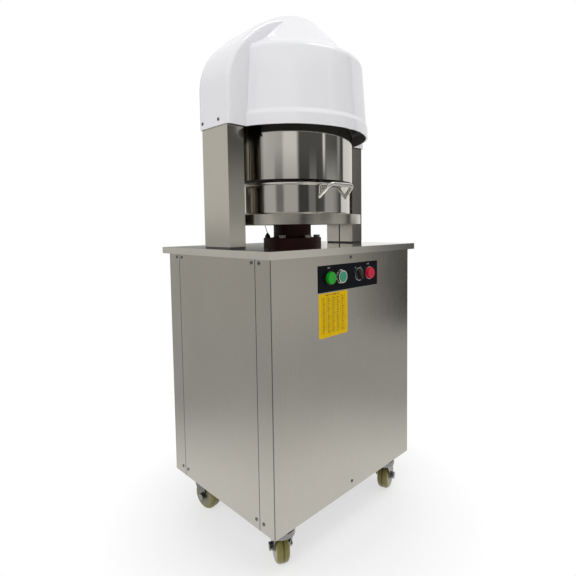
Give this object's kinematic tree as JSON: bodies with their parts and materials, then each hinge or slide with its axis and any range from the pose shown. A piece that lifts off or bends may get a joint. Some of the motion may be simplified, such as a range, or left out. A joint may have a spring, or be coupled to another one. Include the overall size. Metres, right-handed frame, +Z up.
{
  "type": "dough divider",
  "caption": "Floor-standing dough divider: a cabinet on casters with a lifting tray and pan, a knife head under a moulded hood, and push-button controls.",
  "frame": {"origin": "on the floor, under the middle of the cabinet", "axes": "+Z up, the control side faces -Y, +X to the right of a person who stands at the control side and faces it"},
  "size_m": [0.526, 0.428, 1.3],
  "materials": {
    "stainless": "fine brushed, satin",
    "polished_steel": "mirror polished",
    "white_shell": "glossy moulded",
    "maroon_paint": "semi-gloss paint",
    "black_paint": "satin paint",
    "grey_paint": "satin paint",
    "machined_steel": "machined",
    "zinc": "bright zinc plated",
    "bronze": "machined",
    "aluminium": "cast, satin",
    "block_plastic": "food-grade polymer",
    "wheel_tread": "cast polymer tread",
    "control_black": "satin",
    "black_rubber": "matt",
    "black_plastic": "satin",
    "chrome_trim": "bright",
    "green_cap": "glossy",
    "red_cap": "glossy",
    "lamp_lens": "translucent"
  },
  "bodies": {
    "cabinet": {"frame_posts": "grey_paint", "frame_rails": "grey_paint", "lift_plate": "grey_paint", "base_plate": "grey_paint", "top_cover": "stainless", "front_panel": "stainless", "rear_panel": "stainless", "left_side_panel": "stainless", "right_side_panel": "stainless", "panel_screws": "zinc", "hood_screws": "zinc", "column_cores": "black_paint", "left_column_cover": "stainless", "right_column_cover": "stainless", "crossbeam": "black_paint", "head_posts": "machined_steel", "head_plate": "machined_steel", "knife_grid": "machined_steel", "hood": "white_shell", "pedestal": "maroon_paint", "guide_bush": "bronze", "pedestal_bolts": "zinc", "tie_rods": "machined_steel", "bearing_plate": "grey_paint", "screw_bearing": "machined_steel", "motor": "grey_paint", "drive_belt": "black_rubber", "limit_switch": "black_rubber", "limit_whisker": "zinc", "control_plate": "control_black", "control_collars": "chrome_trim", "lamp_body": "chrome_trim", "lamp_lens": "lamp_lens", "contact_blocks": "black_plastic", "electrical_box": "grey_paint", "cable_gland": "black_plastic", "caster_plates": "zinc"},
    "platform": {"tray": "stainless", "ram": "machined_steel", "lift_nut": "bronze", "anti_turn_arm": "machined_steel"},
    "dough_pan": {"pan": "polished_steel", "pan_handle": "polished_steel"},
    "head_ring": {"press_ring": "polished_steel"},
    "press": {"press_plate": "machined_steel", "press_blocks": "block_plastic"},
    "screw": {"lift_screw": "machined_steel", "screw_pulley": "aluminium"},
    "motor_rotor": {"motor_pulley": "aluminium"},
    "start_button": {"green_button": "green_cap"},
    "stop_button": {"red_button": "red_cap"},
    "selector": {"selector_knob": "black_plastic"},
    "front_left_swivel": {"front_left_fork": "zinc"},
    "front_left_roller": {"front_left_wheel": "wheel_tread"},
    "front_right_swivel": {"front_right_fork": "zinc"},
    "front_right_roller": {"front_right_wheel": "wheel_tread"},
    "rear_left_swivel": {"rear_left_fork": "zinc"},
    "rear_left_roller": {"rear_left_wheel": "wheel_tread"},
    "rear_right_swivel": {"rear_right_fork": "zinc"},
    "rear_right_roller": {"rear_right_wheel": "wheel_tread"}
  },
  "joints": [
    {"name": "platform_lift", "type": "slide", "parent": "cabinet", "child": "platform", "axis": [0, 0, 1], "range_m": [0, 0.083]},
    {"name": "pan_slide", "type": "slide", "parent": "platform", "child": "dough_pan", "axis": [0, 1, 0], "range_m": [-0.18, 0]},
    {"name": "ring_float", "type": "slide", "parent": "cabinet", "child": "head_ring", "axis": [0, 0, 1], "range_m": [0, 0.083]},
    {"name": "press_float", "type": "slide", "parent": "cabinet", "child": "press", "axis": [0, 0, 1], "range_m": [0, 0.03]},
    {"name": "screw_turn", "type": "hinge", "parent": "cabinet", "child": "screw", "pos_m": [0, 0, 0.4], "axis": [0, 0, 1], "continuous": true},
    {"name": "motor_turn", "type": "hinge", "parent": "cabinet", "child": "motor_rotor", "pos_m": [0, 0.124, 0.38], "axis": [0, 0, 1], "continuous": true},
    {"name": "start_press", "type": "slide", "parent": "cabinet", "child": "start_button", "axis": [0, 1, 0], "range_m": [0, 0.0024], "stiffness_N_per_m": 400},
    {"name": "stop_press", "type": "slide", "parent": "cabinet", "child": "stop_button", "axis": [0, 1, 0], "range_m": [0, 0.0024], "stiffness_N_per_m": 400},
    {"name": "selector_turn", "type": "hinge", "parent": "cabinet", "child": "selector", "pos_m": [0.025, -0.208, 0.636], "axis": [0, 1, 0], "range_deg": [0, 60]},
    {"name": "front_left_swivel_turn", "type": "hinge", "parent": "cabinet", "child": "front_left_swivel", "pos_m": [-0.194, -0.159, 0.09], "axis": [0, 0, 1], "continuous": true},
    {"name": "front_left_wheel_spin", "type": "hinge", "parent": "front_left_swivel", "child": "front_left_roller", "pos_m": [-0.18555, -0.14311, 0.0375], "axis": [-0.8829, 0.4695, 0], "continuous": true},
    {"name": "front_right_swivel_turn", "type": "hinge", "parent": "cabinet", "child": "front_right_swivel", "pos_m": [0.194, -0.159, 0.09], "axis": [0, 0, 1], "continuous": true},
    {"name": "front_right_wheel_spin", "type": "hinge", "parent": "front_right_swivel", "child": "front_right_roller", "pos_m": [0.21112, -0.15344, 0.0375], "axis": [-0.309, 0.9511, 0], "continuous": true},
    {"name": "rear_left_swivel_turn", "type": "hinge", "parent": "cabinet", "child": "rear_left_swivel", "pos_m": [-0.194, 0.159, 0.09], "axis": [0, 0, 1], "continuous": true},
    {"name": "rear_left_wheel_spin", "type": "hinge", "parent": "rear_left_swivel", "child": "rear_left_roller", "pos_m": [-0.19181, 0.14113, 0.0375], "axis": [0.9925, 0.1219, 0], "continuous": true},
    {"name": "rear_right_swivel_turn", "type": "hinge", "parent": "cabinet", "child": "rear_right_swivel", "pos_m": [0.194, 0.159, 0.09], "axis": [0, 0, 1], "continuous": true},
    {"name": "rear_right_wheel_spin", "type": "hinge", "parent": "rear_right_swivel", "child": "rear_right_roller", "pos_m": [0.17709, 0.16516, 0.0375], "axis": [-0.342, -0.9397, 0], "continuous": true}
  ],
  "couplings": [
    {"joint": "ring_float", "follows": "platform_lift", "ratio": 1},
    {"joint": "screw_turn", "follows": "platform_lift", "rad_per_m": -628.32},
    {"joint": "motor_turn", "follows": "platform_lift", "rad_per_m": -942.48}
  ]
}
